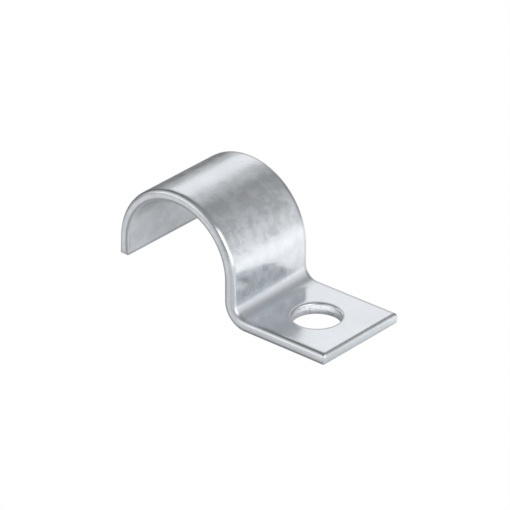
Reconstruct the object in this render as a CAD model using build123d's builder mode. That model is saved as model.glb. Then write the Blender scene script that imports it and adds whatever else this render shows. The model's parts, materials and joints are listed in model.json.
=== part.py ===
"""One-hole conduit strap, folded from a single length of flat steel strip.

The strip starts as a short free leg, runs round the conduit as a half circle, comes down
as the fixed leg and bends outwards into a flat foot with one screw hole. The loop stands a
little lower than the conduit is thick, so that the screw pulls the conduit tight.

Frame: the origin is the centre of the screw hole, on the face that lies against the wall.
+Z points away from the wall, +X along the foot away from the conduit, and the conduit runs
along Y. Everything is in millimetres and degrees.
"""

from build123d import *

import os

# The strip
strip_width = 14.5
strip_thickness = 1.6
edge_radius = 0.5  # rounding on the long edges and on both cut ends

# The loop round the conduit
conduit_diameter = 16.0  # outside size of the conduit that the loop is bent to
clamp_reserve = 1.8  # how much lower the loop stands than the conduit is thick
free_leg_length = 2.4  # straight stretch past the loop, on the side with no foot
free_leg_flare = 2.0  # how far that stretch opens outwards, so that the conduit snaps in

# The foot
bend_radius = 1.75  # inside radius of the bend between the fixed leg and the foot
leg_to_hole = 7.6  # from the fixed leg's outer face to the hole's centre
hole_to_end = 7.2  # from the hole's centre to the foot's cut end
hole_diameter = 6.4  # clears an M6 screw
hole_rollover = 0.2  # rounding that the punch leaves on the hole's upper rim

# Places that follow from those sizes, in the profile's own plane
half_turn = 180
conduit_radius = conduit_diameter / 2
leg_inner_x = -leg_to_hole - strip_thickness
conduit_axis = (leg_inner_x - conduit_radius, conduit_radius - clamp_reserve)
foot_end = (hole_to_end, 0)
foot_corner = (leg_inner_x, 0)
leg_top = (leg_inner_x, conduit_axis[1])

with BuildPart() as strap:
    # The face that touches wall and conduit, drawn as one line and thickened outwards
    with BuildSketch(Plane.XZ) as profile:
        with BuildLine() as outline:
            FilletPolyline(foot_end, foot_corner, leg_top, radius=bend_radius + strip_thickness)
            loop = CenterArc(conduit_axis, conduit_radius, 0, half_turn - free_leg_flare)
            PolarLine(loop @ 1, free_leg_length, direction=loop % 1)
            offset(amount=strip_thickness, side=Side.RIGHT)
        make_face()
    extrude(amount=strip_width / 2, both=True)

    # The rounded edges: both sides of the strip all the way round, and the two cut ends
    sides = strap.faces().filter_by(Axis.Y)
    foot_cut = strap.faces().sort_by(Axis.X)[-1]
    beyond_axis = strap.faces().filter_by(lambda face: face.center().X < conduit_axis[0])
    loop_cut = beyond_axis.sort_by(Axis.Z)[0]
    fillet((sides + [foot_cut, loop_cut]).edges(), radius=edge_radius)

    # The screw hole, punched from above
    Hole(radius=hole_diameter / 2)
    upper_rim = strap.edges(Select.LAST).filter_by(GeomType.CIRCLE).sort_by(Axis.Z)[-1]
    fillet(upper_rim, radius=hole_rollover)

os.makedirs("parts", exist_ok=True)
strap.part.label = "strap"
export_step(strap.part, "parts/strap.step")
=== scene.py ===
# %% [markdown]
# # A one-hole conduit strap in galvanised steel
# The real object is a single length of steel strip, 14.5 mm wide and 1.6 mm thick. A press
# shears it to length, punches one screw hole and folds it round a former. This lesson
# repeats those steps in Blender: a flat sheet with a hole, folded by spins and extrusions,
# thickened to a wall, and rounded where the real strip is rounded. The steel's finish and
# the studio come after it.

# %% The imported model
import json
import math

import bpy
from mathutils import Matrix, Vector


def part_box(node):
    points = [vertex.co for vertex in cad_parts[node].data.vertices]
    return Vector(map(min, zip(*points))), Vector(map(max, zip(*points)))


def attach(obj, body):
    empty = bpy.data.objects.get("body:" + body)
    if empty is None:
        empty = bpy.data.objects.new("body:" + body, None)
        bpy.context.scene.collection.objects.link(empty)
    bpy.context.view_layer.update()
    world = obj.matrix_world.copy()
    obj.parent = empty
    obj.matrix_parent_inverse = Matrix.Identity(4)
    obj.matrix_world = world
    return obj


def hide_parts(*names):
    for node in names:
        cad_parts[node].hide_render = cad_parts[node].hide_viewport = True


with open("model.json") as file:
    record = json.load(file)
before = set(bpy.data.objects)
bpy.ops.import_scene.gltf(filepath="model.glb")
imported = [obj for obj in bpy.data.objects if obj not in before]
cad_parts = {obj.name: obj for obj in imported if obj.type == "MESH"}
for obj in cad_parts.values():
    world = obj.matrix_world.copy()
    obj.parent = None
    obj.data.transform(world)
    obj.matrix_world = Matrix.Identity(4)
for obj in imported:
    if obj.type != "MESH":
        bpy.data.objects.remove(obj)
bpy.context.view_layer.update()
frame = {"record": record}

# %% [markdown]
# ## Sizes
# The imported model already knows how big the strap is, so the sizes are read from it and
# not typed again. Its two round mounts give the screw hole and the loop, and its box gives
# the strip's width, its thickness and where the foot ends. Only the bend and the free leg
# are named here, because no mount measures them.

MM = 0.001
TURN = 2 * math.pi
TINY = 0.001 * MM  # two places closer than this are the same

mounts = {mount["name"]: mount for mount in frame["record"]["mounts"]}
low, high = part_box("strap")
hole_radius = mounts["screw_hole"]["dims"]["r_mm"] * MM
loop_radius = mounts["conduit_seat"]["dims"]["r_mm"] * MM
loop_axis = Vector(mounts["conduit_seat"]["pos_m"])
half_width = high.y
foot_end = high.x
thickness = high.z - loop_axis.z - loop_radius
bend_radius = 1.75 * MM  # inside radius of the bend between leg and foot
free_leg_flare = math.radians(2.0)

leg_inner_x = loop_axis.x + loop_radius
bend_outside = bend_radius + thickness
bend_axis = Vector((leg_inner_x + bend_outside, 0, bend_outside))
print(f"strip {2 * half_width / MM:.1f} x {thickness / MM:.2f} mm, hole {2 * hole_radius / MM:.1f} mm")

# %% [markdown]
# ## Helpers for working by hand in a script
# Blender's operators act on whatever is selected. These helpers empty the selection, make
# one object active, and pick vertices by a test on their place, which is what a hand does
# with a box select.

# %% Selecting
import bmesh


def activate(piece):
    """Makes piece the only selected object and the active one."""
    bpy.ops.object.select_all(action="DESELECT")
    piece.select_set(True)
    bpy.context.view_layer.objects.active = piece


def pick(piece, test, kind="VERT"):
    """In edit mode, selects the vertices, edges or faces of piece whose middle passes the test."""
    bpy.ops.mesh.select_mode(type=kind)
    bpy.ops.mesh.select_all(action="DESELECT")
    mesh = bmesh.from_edit_mesh(piece.data)
    if kind == "VERT":
        found = [vert for vert in mesh.verts if test(vert.co)]
    elif kind == "EDGE":
        found = [edge for edge in mesh.edges if all(test(vert.co) for vert in edge.verts)]
    else:
        found = [face for face in mesh.faces if test(face.calc_center_median())]
    for element in found:
        element.select_set(True)
    bmesh.update_edit_mesh(piece.data)
    return len(found)


def near(value, target, slack=TINY):
    """True where value lies within slack of target."""
    return abs(value - target) < slack


# %% [markdown]
# ## The blank's foot, with its hole
# A round hole in a square plate wants faces that run from the circle to the square, so that
# the rim can be rounded later without a crease. The rim is a circle that grows outwards ring
# by ring: the punch dished the steel there, and the rings will carry that dish. A grid's
# border stands for the plate's outline, and the gap between the two is bridged.

# %% Foot plate
ACROSS = 16  # faces across the strip's width
RIM_DISH_WIDTH = 0.8 * MM
RIM_STEPS = (0, 0.26, 0.41, 0.58, 0.78, 1)  # the rings, as shares of the dish's width
BRIDGE_CUTS = 4  # lines between the outermost ring and the outline
foot_start = bend_axis.x
foot_length = foot_end - foot_start

bpy.ops.object.select_all(action="DESELECT")
bpy.ops.mesh.primitive_grid_add(x_subdivisions=ACROSS, y_subdivisions=ACROSS, size=1)
strap = bpy.context.active_object
strap.name = "strap_body"
bpy.ops.object.mode_set(mode="EDIT")
bpy.ops.transform.resize(value=(foot_length, 2 * half_width, 1), center_override=(0, 0, 0))
bpy.ops.transform.translate(value=((foot_start + foot_end) / 2, 0, 0))


def on_outline(place):
    """True for the points of the foot's own outline."""
    return near(abs(place.y), half_width) or near(place.x, foot_start) or near(place.x, foot_end)


pick(strap, lambda place: not on_outline(place))
bpy.ops.mesh.delete(type="VERT")
bpy.ops.mesh.primitive_circle_add(vertices=4 * ACROSS, radius=hole_radius)
ring_radii = [hole_radius + RIM_DISH_WIDTH * step for step in RIM_STEPS]
for smaller, larger in zip(ring_radii, ring_radii[1:]):
    bpy.ops.mesh.extrude_region_move()
    growth = larger / smaller
    bpy.ops.transform.resize(value=(growth, growth, 1), center_override=(0, 0, 0))
pick(strap, lambda place: on_outline(place) or near(place.length, ring_radii[-1]), "EDGE")
bpy.ops.mesh.bridge_edge_loops(number_cuts=BRIDGE_CUTS, interpolation="LINEAR")
bpy.ops.mesh.select_all(action="SELECT")
bpy.ops.mesh.normals_make_consistent(inside=False)
print("foot plate:", len(bmesh.from_edit_mesh(strap.data).faces), "faces")

# %% [markdown]
# ## Folding
# A press brake turns the strip about fixed axes. Spin does the same to the sheet's edge: it
# sweeps it round an axis and leaves the new edge selected, so each fold starts where the
# last one ended. Straight stretches between the folds are plain extrusions.

# %% Bend, leg, loop and free leg
BEND_STEPS = 16
LOOP_STEPS = 96
loop_turn = TURN / 2 - free_leg_flare
free_leg_length = 2.4 * MM
along_y = (0, 1, 0)

pick(strap, lambda place: near(place.x, foot_start), "EDGE")
bpy.ops.mesh.spin(steps=BEND_STEPS, angle=-TURN / 4, center=bend_axis, axis=along_y)
leg_rise = loop_axis.z - bend_axis.z
bpy.ops.mesh.extrude_region_move(TRANSFORM_OT_translate={"value": (0, 0, leg_rise)})
bpy.ops.mesh.spin(steps=LOOP_STEPS, angle=loop_turn, center=loop_axis, axis=along_y)
free_leg_way = Vector((-math.sin(free_leg_flare), 0, -math.cos(free_leg_flare)))
bpy.ops.mesh.extrude_region_move(TRANSFORM_OT_translate={"value": free_leg_way * free_leg_length})
bpy.ops.mesh.select_all(action="SELECT")
bpy.ops.mesh.remove_doubles(threshold=TINY)
bpy.ops.mesh.normals_make_consistent(inside=False)
bpy.ops.object.mode_set(mode="OBJECT")
print("sheet:", len(strap.data.polygons), "faces,", [round(v / MM, 2) for v in strap.dimensions], "mm")

# %% [markdown]
# ## Wall and die roll
# The sheet is the face that touches wall and conduit, so the wall grows away from it. The
# shear that cut the strip dragged the outer face down along its edges, and the punch did
# the same round the hole. This die roll is wide and shallow. A vertex group says how thick
# the wall is at each point, and Solidify follows it.

# %% Thickness
ROLL_WIDTH = 2 * half_width / ACROSS  # ends on a line of the plate's grid, so no slivers
ROLL_DEPTH = 0.11 * MM
ROLL_STEPS = (0.62, 0.7, 0.79, 0.89, 1)  # lines on the sheet, as shares of the roll's width
RIM_DISH_DEPTH = 0.1 * MM

activate(strap)
bpy.ops.object.mode_set(mode="EDIT")
for side in (-1, 1):
    for step in ROLL_STEPS:
        line = (0, side * (half_width - step * ROLL_WIDTH), 0)
        bpy.ops.mesh.select_all(action="SELECT")
        bpy.ops.mesh.bisect(plane_co=line, plane_no=along_y, threshold=TINY)
bpy.ops.object.mode_set(mode="OBJECT")


def roll(distance, width, depth):
    """How far the outer face has sunk at that distance from a sheared edge."""
    return depth * max(0, 1 - distance / width) ** 2


wall = strap.vertex_groups.new(name="wall")
for vert in strap.data.vertices:
    sunk = roll(half_width - abs(vert.co.y), ROLL_WIDTH, ROLL_DEPTH)
    sunk += roll(vert.co.length - hole_radius, RIM_DISH_WIDTH, RIM_DISH_DEPTH)
    wall.add([vert.index], 1 - sunk / thickness, "REPLACE")

foot_normal = next(face.normal for face in strap.data.polygons if near(face.center.z, 0))
solid = strap.modifiers.new("wall", "SOLIDIFY")
solid.thickness = thickness
solid.offset = 1 if foot_normal.z > 0 else -1
solid.use_even_offset = True
solid.vertex_group = "wall"
bpy.ops.object.modifier_apply(modifier="wall")
crown_height = max(vert.co.z for vert in strap.data.vertices)
print("wall:", len(strap.data.polygons), "faces, height", round(crown_height / MM, 3), "mm")

# %% [markdown]
# ## Rounded edges
# The long edges are rounded all the way, the foot's end and the hole less so, and the free
# end is nearly sharp. One Bevel does them all: each edge carries a weight that says how much
# of the radius it gets.

# %% Choosing edges
SHARP_ANGLE = math.radians(50)
WALL_EDGE = (0.9 * thickness, 1.02 * thickness)  # lengths of an edge straight through the wall


def weigh(share, test):
    """Gives the sharp edges whose two ends pass the test that share of the edge radius."""
    bpy.ops.mesh.select_mode(type="EDGE")
    bpy.ops.mesh.select_all(action="DESELECT")
    bpy.ops.mesh.edges_select_sharp(sharpness=SHARP_ANGLE)
    mesh = bmesh.from_edit_mesh(strap.data)
    for edge in mesh.edges:
        if edge.select and not test(*(vert.co for vert in edge.verts)):
            edge.select_set(False)
    mesh.select_flush_mode()
    bmesh.update_edit_mesh(strap.data)
    bpy.ops.transform.edge_bevelweight(value=-1)
    bpy.ops.transform.edge_bevelweight(value=share)


def across_wall(first, second):
    """True for the edges that run straight through the wall's thickness."""
    return WALL_EDGE[0] < (first - second).length < WALL_EDGE[1]


def along_strip_edge(first, second):
    """True for the edges of the strip's two long sides."""
    on_side = near(abs(first.y), half_width) and near(abs(second.y), half_width)
    return on_side and not across_wall(first, second)


def upright_corner(first, second):
    """True for the corners between a long side and a cut end."""
    on_side = near(abs(first.y), half_width) and near(abs(second.y), half_width)
    return on_side and across_wall(first, second)


def on_free_end(first, second):
    """True for the edges of the free leg's cut end."""
    return max(first.z, second.z) < loop_axis.z - free_leg_length / 2 and first.x < loop_axis.x


def on_rim(first, second):
    """True for the edges of the hole's two rims."""
    return near(math.hypot(first.x, first.y), hole_radius)


print(f"an edge through the wall is {WALL_EDGE[0] / MM:.2f} to {WALL_EDGE[1] / MM:.2f} mm long")

# %% [markdown]
# ## Rounding them
# A later weight overrules an earlier one, so the general rule comes first and the special
# edges follow. The Bevel doesn't clamp, because one narrow face would then thin the rounding
# everywhere. Weighted normals keep the flat faces flat, which a mirror finish shows at once.

# %% Rounding
EDGE_RADIUS = 0.5 * MM
EDGE_SEGMENTS = 6
END_SHARE = 0.8
FREE_END_SHARE = 0.3
CORNER_SHARE = 0.35
LONG_SHARE = 1
UPPER_RIM_SHARE = 0.36
LOWER_RIM_SHARE = 0.2

activate(strap)
bpy.ops.object.mode_set(mode="EDIT")
weigh(END_SHARE, lambda first, second: True)
weigh(FREE_END_SHARE, on_free_end)
weigh(CORNER_SHARE, upright_corner)
weigh(LONG_SHARE, along_strip_edge)
weigh(UPPER_RIM_SHARE, lambda first, second: on_rim(first, second) and first.z > thickness / 2)
weigh(LOWER_RIM_SHARE, lambda first, second: on_rim(first, second) and first.z < thickness / 2)
bpy.ops.object.mode_set(mode="OBJECT")
rounding = strap.modifiers.new("rounding", "BEVEL")
rounding.width = EDGE_RADIUS
rounding.segments = EDGE_SEGMENTS
rounding.limit_method = "WEIGHT"
rounding.use_clamp_overlap = False
bpy.ops.object.modifier_apply(modifier="rounding")
bpy.ops.object.shade_smooth()
strap.modifiers.new("weighted", "WEIGHTED_NORMAL")
bpy.ops.object.modifier_apply(modifier="weighted")
print("rounded:", len(strap.data.polygons), "faces")

# %% [markdown]
# ## Writing node trees as sums
# A finish is a sum of simple patterns: clouds, grains, masks. Drawn as nodes, every plus and
# times is a box of its own. The small class below wraps one socket, so that 1 - mask or
# cloud * 0.3 adds those boxes by itself, and every other node comes from its one method.

# %% Wires
class Wire:
    """One socket of a node tree. Sums of wires and numbers add their Math nodes."""

    def __init__(self, tree, socket=None):
        self.tree = tree
        self.socket = socket

    def node(self, kind, settings=None, sockets=None, output=0):
        """Adds a node, makes its settings, fills or links its sockets, gives back one output."""
        made = self.tree.nodes.new("ShaderNode" + kind)
        for name, value in (settings or {}).items():
            setattr(made, name, value)
        for name, value in (sockets or {}).items():
            if isinstance(value, Wire):
                self.tree.links.new(value.socket, made.inputs[name])
            else:
                made.inputs[name].default_value = value
        return Wire(self.tree, made.outputs[output])

    def maths(self, operation, first, second):
        """A Math node on two wires or numbers."""
        return self.node("Math", {"operation": operation}, {0: first, 1: second})

    def __add__(self, other):
        return self.maths("ADD", self, other)

    def __radd__(self, other):
        return self.maths("ADD", other, self)

    def __sub__(self, other):
        return self.maths("SUBTRACT", self, other)

    def __rsub__(self, other):
        return self.maths("SUBTRACT", other, self)

    def __mul__(self, other):
        return self.maths("MULTIPLY", self, other)

    def __rmul__(self, other):
        return self.maths("MULTIPLY", other, self)

    def slope(self, start, end):
        """Runs smoothly from 0 at start to 1 at end, in either direction."""
        low, high = min(start, end), max(start, end)
        sockets = {"Value": self, "From Min": low, "From Max": high}
        risen = self.node("MapRange", {"interpolation_type": "SMOOTHSTEP"}, sockets)
        return risen if start < end else 1 - risen

    def beside(self, output):
        """Another output of the node that this wire leaves."""
        return Wire(self.tree, self.socket.node.outputs[output])

    def feed(self, node, name):
        """Links this wire to a socket of a node that is already there."""
        self.tree.links.new(self.socket, node.inputs[name])


# %% [markdown]
# ## Zinc, and the clouds it is made of
# The strap is steel under a coat of zinc. The coat froze in soft patches a few millimetres
# wide, with a far finer frost over them, and it mirrors the studio with a slight blur. A
# picture could be wrapped round the shape. Noise that reads the strap's own coordinates has
# no seams at all, so each kind of spot is a noise of its own size.

# %% Coordinates and clouds
SWELL_SIZE = 4.0 * MM
ISLAND_SIZE = 1.5 * MM
FROST_SIZE = 0.5 * MM
GRAIN_SIZE = 0.15 * MM
ISLAND_SHORE = (0.43, 0.57)  # noise values between which a patch begins
MEAN = 0.5  # of every cloud

steel = bpy.data.materials.new("galvanised_steel")
steel.use_nodes = True
zinc = steel.node_tree.nodes["Principled BSDF"]
zinc.inputs["Metallic"].default_value = 1
tree = Wire(steel.node_tree)
coordinates = tree.node("TexCoord", output="Object")
along_foot = tree.node("SeparateXYZ", sockets={"Vector": coordinates})
across_strip = along_foot.beside("Y")
above_floor = along_foot.beside("Z")


def cloud(size, detail, rough=0.5, stir=0.0):
    """Noise whose spots are about that size, in metres, with a mean of one half."""
    sockets = {"Vector": coordinates, "Scale": 1 / size, "Detail": detail}
    sockets.update({"Roughness": rough, "Distortion": stir})
    return tree.node("TexNoise", {"normalize": True}, sockets)


swell = cloud(SWELL_SIZE, detail=1)
islands = cloud(ISLAND_SIZE, detail=5, rough=0.6, stir=0.25)
frost = cloud(FROST_SIZE, detail=3, rough=0.6)
grain = cloud(GRAIN_SIZE, detail=1)
patches = islands.slope(*ISLAND_SHORE)
print("clouds of", [round(size / MM, 2) for size in (SWELL_SIZE, ISLAND_SIZE, FROST_SIZE, GRAIN_SIZE)], "mm")

# %% [markdown]
# ## Where a point lies in the folded strip
# The painted shade along the edges follows the strip round the folds. So the material has to
# know how far a point is from the strip's side, and how deep it lies between the face that grips
# and the outer face. That could be painted on by hand. Here the two axes that folded the strip
# measure it, which is exact at every bend.

# %% Distances in the strip
def length_of(first, second):
    """The length of a flat vector with those two parts."""
    return tree.maths("POWER", first * first + second * second, 0.5)


from_side = half_width - tree.maths("ABSOLUTE", across_strip, 0)
from_end = foot_end - along_foot
from_rim = length_of(along_foot, across_strip) - hole_radius
over_loop_axis = tree.maths("MAXIMUM", above_floor - loop_axis.z, 0)
depth_in_loop = length_of(along_foot - loop_axis.x, over_loop_axis) - loop_radius
beside_bend_axis = tree.maths("MINIMUM", along_foot - bend_axis.x, 0)
depth_in_bend = bend_outside - length_of(beside_bend_axis, bend_axis.z - above_floor)
below_bend_axis = tree.maths("LESS_THAN", above_floor, bend_axis.z)
foot_side = tree.maths("GREATER_THAN", along_foot, loop_axis.x)
depth = depth_in_loop + (depth_in_bend - depth_in_loop) * below_bend_axis * foot_side
print(f"depth: 0 on the gripping face, {thickness / MM:.2f} mm on the outer face")

# %% [markdown]
# ## Painted shade along the sides
# Darker lines are painted along the strip's long sides, where its rounded edges would mirror
# shade: a wide weak one by the outer face, a painted dark reflection, and a narrow strong one
# by the gripping face, painted contact shadow. Real wear could be found from the mesh's
# curvature. These lines sit at fixed depths of the wall, so the distances give them more
# cleanly.

# %% Sides
OUTER_LINE = (0.98 * MM, 1.15 * MM)  # the depth where it begins, and where it is whole
OUTER_REACH = (1.0 * MM, 0.45 * MM)  # how far in from the side it ends, and where it is whole
OUTER_STRENGTH = 0.55
INNER_LINE = (0.62 * MM, 0.42 * MM)
INNER_REACH = (0.5 * MM, 0.3 * MM)
FREE_SIDE = (loop_axis.x - 2 * MM, loop_axis.x - 5 * MM)  # where the free side begins, and is whole
CLEAN_DEPTH = (0.28 * MM, 0.14 * MM)  # on the free side, the innermost edge gets no painted shade

# painted shade: dark lines along the long sides, standing in for mirrored shade
outer_shade_line = from_side.slope(*OUTER_REACH) * depth.slope(*OUTER_LINE) * OUTER_STRENGTH
unshaded_free_edge = along_foot.slope(*FREE_SIDE) * depth.slope(*CLEAN_DEPTH)
inner_shade_line = from_side.slope(*INNER_REACH) * depth.slope(*INNER_LINE) * (1 - unshaded_free_edge)
print("sides:", len(steel.node_tree.nodes), "nodes so far")

# %% [markdown]
# ## Painted shade at the cut ends
# The two cut ends are marked as well: the foot's end has a speckled band on top, painted
# shade on its rounded edge with shear specks in it, and its own face is free of the side
# lines; the free leg has a plain dark line of painted shade. The frost noise gives the
# specks, so they need no pattern of their own.

# %% Ends
END_FACE = (0.1 * MM, 0.02 * MM)  # distances from the end that still count as its own face
END_REACH = (0.55 * MM, 0.25 * MM)
END_STRENGTH = 0.25
END_SPECKS = 0.3
END_SPECK_FROST = (0.3, 0.6)  # noise values between which the frost shows as specks
FREE_END = loop_axis.z + loop_radius * math.sin(free_leg_flare) - free_leg_length * math.cos(free_leg_flare)
FREE_END_REACH = (FREE_END + 0.55 * MM, FREE_END + 0.25 * MM)
FREE_END_STRENGTH = 0.6

end_face = from_end.slope(*END_FACE)
end_speckled = END_STRENGTH + END_SPECKS * frost.slope(*END_SPECK_FROST)
# painted shade on the rounded top edge of the foot's end, with frost specks in it
end_shade_and_specks = from_end.slope(0, END_FACE[1]) * from_end.slope(*END_REACH) * end_speckled
# painted shade: a dark line along the free leg's cut end
painted_free_end_shade = along_foot.slope(*FREE_SIDE) * above_floor.slope(*FREE_END_REACH) * FREE_END_STRENGTH
painted_side_shade = (inner_shade_line + outer_shade_line) * (1 - end_face)
print("ends:", len(steel.node_tree.nodes), "nodes so far")

# %% [markdown]
# ## Painted shade in the hollow
# The hollow under the crown is shaded by painting: the coat's colour gets darker, slowly,
# towards the crown. A lamp could be kept out of it, but then the leg below would lose its
# light too.

# %% Hollow
HOLLOW_DEPTH = (0.3 * MM, 0.1 * MM)
HOLLOW_HEIGHT = (loop_axis.z + 1.5 * MM, loop_axis.z + 6.5 * MM)
HOLLOW_STRENGTH = 0.85

# painted shade: the inside of the loop darkens towards the crown
painted_hollow_shade = depth.slope(*HOLLOW_DEPTH) * above_floor.slope(*HOLLOW_HEIGHT) * HOLLOW_STRENGTH
print(f"hollow: darkest {(HOLLOW_HEIGHT[1] - loop_axis.z) / MM:.1f} mm above the axis")

# %% [markdown]
# ## The punched hole
# A punch shears the upper part of a hole smooth and tears the rest. The torn part is darker,
# the whole wall is speckled, and a faint dark ring of painted shade lies on top beside the
# rim, where the punch's dish would mirror shade. All three are rings round the hole's axis,
# so the distance to the rim and the height are enough.

# %% Hole
BORE_REACH = (0.14 * MM, 0.04 * MM)  # distances from the rim that still count as the hole's wall
TORN_HEIGHT = (0.9 * MM, 0.5 * MM)
TORN_STRENGTH = 0.45
BORE_SPECKS = 0.5
BORE_SPECK_FROST = (0.5, 0.62)
RING_REACH = (0.42 * MM, 0.2 * MM)
RING_HEIGHT = (thickness - 0.3 * MM, thickness - 0.1 * MM)
RING_STRENGTH = 0.45

bore = from_rim.slope(*BORE_REACH)
torn = bore * above_floor.slope(*TORN_HEIGHT)
bore_worn = torn * TORN_STRENGTH + bore * frost.slope(*BORE_SPECK_FROST) * BORE_SPECKS
# painted shade: a faint dark ring on top beside the rim
painted_rim_shade = from_rim.slope(*RING_REACH) * above_floor.slope(*RING_HEIGHT) * RING_STRENGTH
# This gathers the hole's torn wall and specks with the painted shade of the sides, ends, hollow and rim
# ring.
worn_and_shade = painted_side_shade
for marks in (end_shade_and_specks, painted_free_end_shade, painted_hollow_shade, painted_rim_shade, bore_worn):
    worn_and_shade = tree.maths("MAXIMUM", worn_and_shade, marks)
print(f"hole: torn below {TORN_HEIGHT[0] / MM:.1f} mm")

# %% [markdown]
# ## Colour
# Zinc differs little in colour from patch to patch: a blue-grey, lighter and darker. Two
# greys and one mix between them are enough. The patches are stronger on the loop than on the
# foot, which was pressed flat, and the worn marks and the painted shade then darken the mix.

# %% Base colour
DARKER_ZINC = (0.70, 0.738, 0.768, 1)
LIGHTER_ZINC = (0.84, 0.865, 0.915, 1)
BARE_STEEL_AND_SHADE = (0.36, 0.37, 0.38, 1)
BARE_AND_SHADE_SHARE = 0.8
RAISED = (2.2 * MM, 4.5 * MM)  # heights between which the foot's finish turns into the loop's
FOOT_PATCHES = 0.1
LOOP_PATCHES = 0.4
SWELL_TINT = 0.7
FROST_TINT = 0.5
END_DARKER = 0.5


def blend(wires, share, first, second):
    """The colour at that share of the way from the first to the second."""
    sockets = {"Factor": share, "A": first, "B": second}
    return wires.node("Mix", {"data_type": "RGBA"}, sockets, output="Result")


raised = above_floor.slope(*RAISED)
tint = (
    MEAN
    + (patches - MEAN) * (FOOT_PATCHES + LOOP_PATCHES * raised)
    + (swell - MEAN) * SWELL_TINT
    + (frost - MEAN) * (FROST_TINT + end_face)
    - end_face * END_DARKER
)
zinc_colour = blend(tree, tint, DARKER_ZINC, LIGHTER_ZINC)
# one dark grey serves both as bare steel in the hole and as painted shade along the edges, the ends and in
# the hollow
blend(tree, worn_and_shade * BARE_AND_SHADE_SHARE, zinc_colour, BARE_STEEL_AND_SHADE).feed(zinc, "Base Color")
print("colour:", len(steel.node_tree.nodes), "nodes so far")

# %% [markdown]
# ## Gloss
# How sharply zinc mirrors the studio is its roughness. It is low all over, a little higher
# in some patches, in the frost and on the hole's wall, and clearly higher in the bend, where
# folding stretched the coat until it went dull.

# %% Roughness
SMOOTH_ZINC = 0.18
RAISED_DULLER = 0.03
BEND_DULLER = 0.15
SPOT_DULLER = 0.08
BEND_REACH = (bend_axis.x + 1.2 * MM, bend_axis.x - 0.2 * MM)
BEND_HEIGHT = (bend_axis.z + 1.2 * MM, bend_axis.z - 0.4 * MM)

in_bend = along_foot.slope(*BEND_REACH) * above_floor.slope(*BEND_HEIGHT)
roughness = (
    SMOOTH_ZINC
    + raised * RAISED_DULLER
    + in_bend * BEND_DULLER
    + ((patches - MEAN) * raised + (frost - MEAN) + bore) * SPOT_DULLER
)
roughness.feed(zinc, "Roughness")
print(f"roughness: {SMOOTH_ZINC} to {SMOOTH_ZINC + RAISED_DULLER + BEND_DULLER:.2f}")

# %% [markdown]
# ## Relief
# What the eye takes for spots in the zinc is mostly its relief, a few hundredths of a
# millimetre that tilts the mirror. Real displacement would need millions of faces, so a Bump
# node does it. Patches and swells rise on the loop only, and frost and grain are everywhere,
# roughest in the hole and on the cut end.

# %% Bump
MICRON = 0.001 * MM
SWELL_HEIGHT = 30 * MICRON
ISLAND_HEIGHT = 16 * MICRON
FROST_HEIGHT = 2 * MICRON
FROST_ON_LOOP = 3.5 * MICRON
FROST_IN_HOLE = 6 * MICRON
FROST_ON_END = 4 * MICRON
GRAIN_HEIGHT = 0.3 * MICRON

frost_height = FROST_HEIGHT + FROST_ON_LOOP * raised + FROST_IN_HOLE * bore + FROST_ON_END * end_face
on_loop = (swell * SWELL_HEIGHT + islands * ISLAND_HEIGHT) * raised
relief = on_loop + frost * frost_height + grain * GRAIN_HEIGHT
bump = tree.node("Bump", sockets={"Strength": 1.0, "Distance": 1.0, "Height": relief})
bump.feed(zinc, "Normal")
strap.data.materials.clear()
strap.data.materials.append(steel)
print(f"relief: up to {(SWELL_HEIGHT + ISLAND_HEIGHT) / MM:.3f} mm,", len(steel.node_tree.nodes), "nodes")

# %% [markdown]
# ## Camera
# The strap is seen from above one side of its foot, through a long lens that hardly narrows
# it towards the back. A camera can be turned by eye until the picture fits. Here one point
# of the strap and the pixel where it belongs give the aim, so that direction, distance and
# scale can each be changed without losing the place.

# %% Camera
AZIMUTH = math.radians(40.8)
ELEVATION = math.radians(28.4)
DISTANCE = 0.63
SCALE = 7930  # pixels per metre at the strap
FRAME_PIXELS = 510
SENSOR_MM = 36
SEEN_POINT = Vector((-0.010107, 0, 0.0057))
SEEN_PIXEL = (255.786, 261.428)

level = math.cos(ELEVATION)
back = Vector((math.sin(AZIMUTH) * level, -math.cos(AZIMUTH) * level, math.sin(ELEVATION)))
right = Vector((math.cos(AZIMUTH), math.sin(AZIMUTH), 0))
up = back.cross(right)
to_right, down = ((pixel - FRAME_PIXELS / 2) / SCALE for pixel in SEEN_PIXEL)
aim = SEEN_POINT - right * to_right + up * down
bpy.ops.object.camera_add(location=aim + back * DISTANCE)
camera = bpy.context.active_object
camera.rotation_mode = "QUATERNION"
camera.rotation_quaternion = back.to_track_quat("Z", "Y")
camera.data.sensor_width = SENSOR_MM
camera.data.lens = SENSOR_MM * SCALE * DISTANCE / FRAME_PIXELS
camera.data.clip_start = 0.01
camera.data.clip_end = 20
bpy.context.scene.camera = camera
print(f"camera: {camera.data.lens:.0f} mm lens, {DISTANCE} m away")

# %% [markdown]
# ## Paper floor
# The strap lies on white paper, which is painted darker behind it: painted shade, where the
# lamps on the right would leave the far side dim. Seen directly the paper is plain white, and
# shades on it would only distract. The zinc mirrors it, though, and a mirror shows every
# shade. So the material gives plain white to the camera's own rays, and lit paper to all the others.

# %% Paper
FLOOR_SIZE = 6
FLOOR_DROP = 0.02 * MM  # so that the foot's underside and the floor don't share one plane
PAPER_GREY = (0.8, 0.8, 0.8, 1)
SHADED_PAPER_GREY = (0.4, 0.4, 0.4, 1)
SHADE_BEHIND = (0.02, 0.05)  # metres behind the strap between which the painted shade deepens
PAPER_SKEW = (-0.74, 0.67)  # which way that is, along the floor

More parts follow.
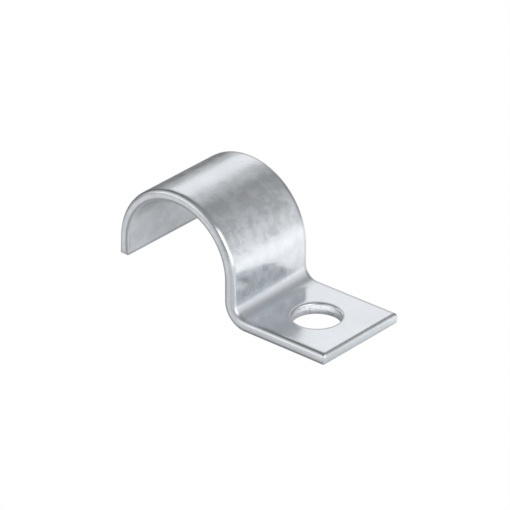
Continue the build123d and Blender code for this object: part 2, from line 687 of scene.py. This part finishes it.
bpy.ops.mesh.primitive_plane_add(size=FLOOR_SIZE, location=(0, 0, -FLOOR_DROP))
floor = bpy.context.active_object
floor.name = "floor"
paper = bpy.data.materials.new("paper")
paper.use_nodes = True
floor.data.materials.append(paper)
matt = paper.node_tree.nodes["Principled BSDF"]
matt.inputs["Roughness"].default_value = 1
matt.inputs["Specular IOR Level"].default_value = 0
sheet = Wire(paper.node_tree)
floor_x = sheet.node("SeparateXYZ", sockets={"Vector": sheet.node("TexCoord", output="Object")})
floor_y = floor_x.beside("Y")
# painted shade: the paper turns grey behind the strap
painted_floor_shade = (floor_x * PAPER_SKEW[0] + floor_y * PAPER_SKEW[1]).slope(*SHADE_BEHIND)
blend(sheet, painted_floor_shade, PAPER_GREY, SHADED_PAPER_GREY).feed(matt, "Base Color")
print("floor:", FLOOR_SIZE, "m square")

# %% [markdown]
# ## Light on the paper
# Lamps leave bright and dim places on the paper round the strap, and the zinc shows them as
# soft bands. Many small lamps could make them. A glow in the paper itself is steadier: a few
# slopes say where it is bright, and it fades where the strap touches the floor.

# %% Glow
BEHIND = (-0.007, 0.016)
BEHIND_GLOW = 0.33
BEFORE = (-0.0068, -0.01)
BEFORE_GLOW = 0.18
LOOP_GLOW = 0.22
LOOP_FOOT_SIDE = (-0.012, -0.019)
LOOP_FREE_SIDE = (-0.0265, -0.023)
LOOP_BACK = (0.008, 0)
LOOP_FRONT = (-0.010, -0.006)
END_SKEW = 0.2
END_GLOW = 0.04
HOLE_GLOW = 0.5
HOLE_EDGE = (3.0 * MM, 1.2 * MM)
CONTACT_REACH = 2 * MM
CONTACT_SHADE = (0.6, 1.0)

behind = (floor_x + floor_y).slope(*BEHIND)
before = floor_y.slope(*BEFORE)
under_loop = floor_x.slope(*LOOP_FOOT_SIDE) * floor_x.slope(*LOOP_FREE_SIDE)
under_loop = under_loop * floor_y.slope(*LOOP_BACK) * floor_y.slope(*LOOP_FRONT)
beyond_end = (floor_x - floor_y * END_SKEW).slope(foot_end, foot_end + CONTACT_REACH)
in_hole = (floor_x * floor_x + floor_y * floor_y).slope(*(edge ** 2 for edge in HOLE_EDGE))
contact = sheet.node("AmbientOcclusion", {"samples": 4}, {"Distance": CONTACT_REACH}, output="AO")
round_strap = behind * BEHIND_GLOW + before * BEFORE_GLOW + under_loop * LOOP_GLOW + beyond_end * END_GLOW
glow = round_strap * contact.slope(*CONTACT_SHADE) + in_hole * HOLE_GLOW
glowing = sheet.node("Emission", sockets={"Strength": glow})
plain_white = sheet.node("Emission")
lit_paper = sheet.node("AddShader", sockets={0: Wire(paper.node_tree, matt.outputs[0]), 1: glowing})
camera_ray = sheet.node("LightPath", output="Is Camera Ray")
shown = sheet.node("MixShader", sockets={0: camera_ray, 1: lit_paper, 2: plain_white})
shown.feed(paper.node_tree.nodes["Material Output"], "Surface")
print("paper:", len(paper.node_tree.nodes), "nodes")

# %% [markdown]
# ## Room
# Everything that the lamps don't fill in the mirror is the room. A plain grey room looks
# dead in metal, and a picture of a studio would be a file to carry. A wash is a soft
# brightening towards one direction, and four of them over a dim grey stand for pale walls.

# %% Room
room = bpy.data.worlds.new("room")
bpy.context.scene.world = room
room.use_nodes = True
air = Wire(room.node_tree)
outwards = air.node("TexCoord", output="Generated")


def way_to(azimuth, elevation):
    """The direction at that azimuth from +Y and that elevation, in degrees."""
    azimuth, elevation = math.radians(azimuth), math.radians(elevation)
    level = math.cos(elevation)
    return Vector((math.sin(azimuth) * level, math.cos(azimuth) * level, math.sin(elevation)))


def wash(azimuth, elevation, start, end, strength):
    """Brightens the room as it is looked at more nearly in that direction."""
    sockets = {0: outwards, 1: way_to(azimuth, elevation)}
    nearness = air.node("VectorMath", {"operation": "DOT_PRODUCT"}, sockets, output="Value")
    return nearness.slope(start, end) * strength


DIM_GREY = 0.21
right_half = wash(azimuth=95, elevation=10, start=-0.6, end=0.8, strength=0.25)
right_wall = wash(azimuth=95, elevation=5, start=0.2, end=0.95, strength=0.1)
left_wall = wash(azimuth=215, elevation=10, start=0.5, end=0.97, strength=0.75)
back_window = wash(azimuth=325, elevation=28, start=0.8, end=0.98, strength=0.39)
walls = DIM_GREY + right_half + right_wall + left_wall + back_window
walls.feed(room.node_tree.nodes["Background"], "Strength")
room.node_tree.nodes["Background"].inputs["Color"].default_value = (1, 1, 1, 1)
print("room:", len(room.node_tree.nodes), "nodes")

# %% [markdown]
# ## Lamps
# Metal shows its lamps as shapes, so each one is a softbox of the size that its reflection
# needs. Four on the right light the foot, the leg's near edge and the crown, two on the left
# fill the loop and its back, and a small one lights the floor by the strap without a
# reflection of its own.

# %% Softboxes
def softbox(name, azimuth, elevation, distance, width, height, radiance):
    """A rectangular area light that faces the strap from that direction."""
    way = way_to(azimuth, elevation)
    bpy.ops.object.light_add(type="AREA", location=SEEN_POINT + way * distance)
    lamp = bpy.context.active_object
    lamp.name = name
    lamp.data.shape = "RECTANGLE"
    lamp.data.size = width
    lamp.data.size_y = height
    lamp.data.energy = radiance * math.pi * width * height
    lamp.rotation_mode = "QUATERNION"
    lamp.rotation_quaternion = way.to_track_quat("Z", "Y")
    print(f"{name}: {width} x {height} m, {distance} m away")
    return lamp


softbox("low_right", azimuth=76, elevation=5, distance=0.3, width=0.2, height=0.06, radiance=0.75)
softbox("high_right", azimuth=110, elevation=32, distance=0.16, width=0.08, height=0.06, radiance=0.9)
softbox("strip_right", azimuth=93, elevation=26, distance=0.3, width=0.38, height=0.28, radiance=1.05)
softbox("back_right", azimuth=50, elevation=12, distance=0.16, width=0.075, height=0.07, radiance=0.17)
softbox("front_left", azimuth=215, elevation=10, distance=0.5, width=0.35, height=0.2, radiance=0.55)
softbox("back_left", azimuth=323, elevation=30, distance=0.5, width=0.22, height=0.2, radiance=0.4)
floor_lamp = softbox(
    "floor_lamp", azimuth=30, elevation=40, distance=0.07, width=0.03, height=0.03, radiance=4.75
)
floor_lamp.visible_glossy = False

# %% [markdown]
# ## Handing the strap over
# The dressed strap stands for the plain packed one, which is hidden, and rides on the root
# body.

# %% Hand over
bpy.context.scene.view_settings.view_transform = "Standard"
bpy.context.scene.view_settings.look = "None"

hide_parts("strap")
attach(strap, "root")
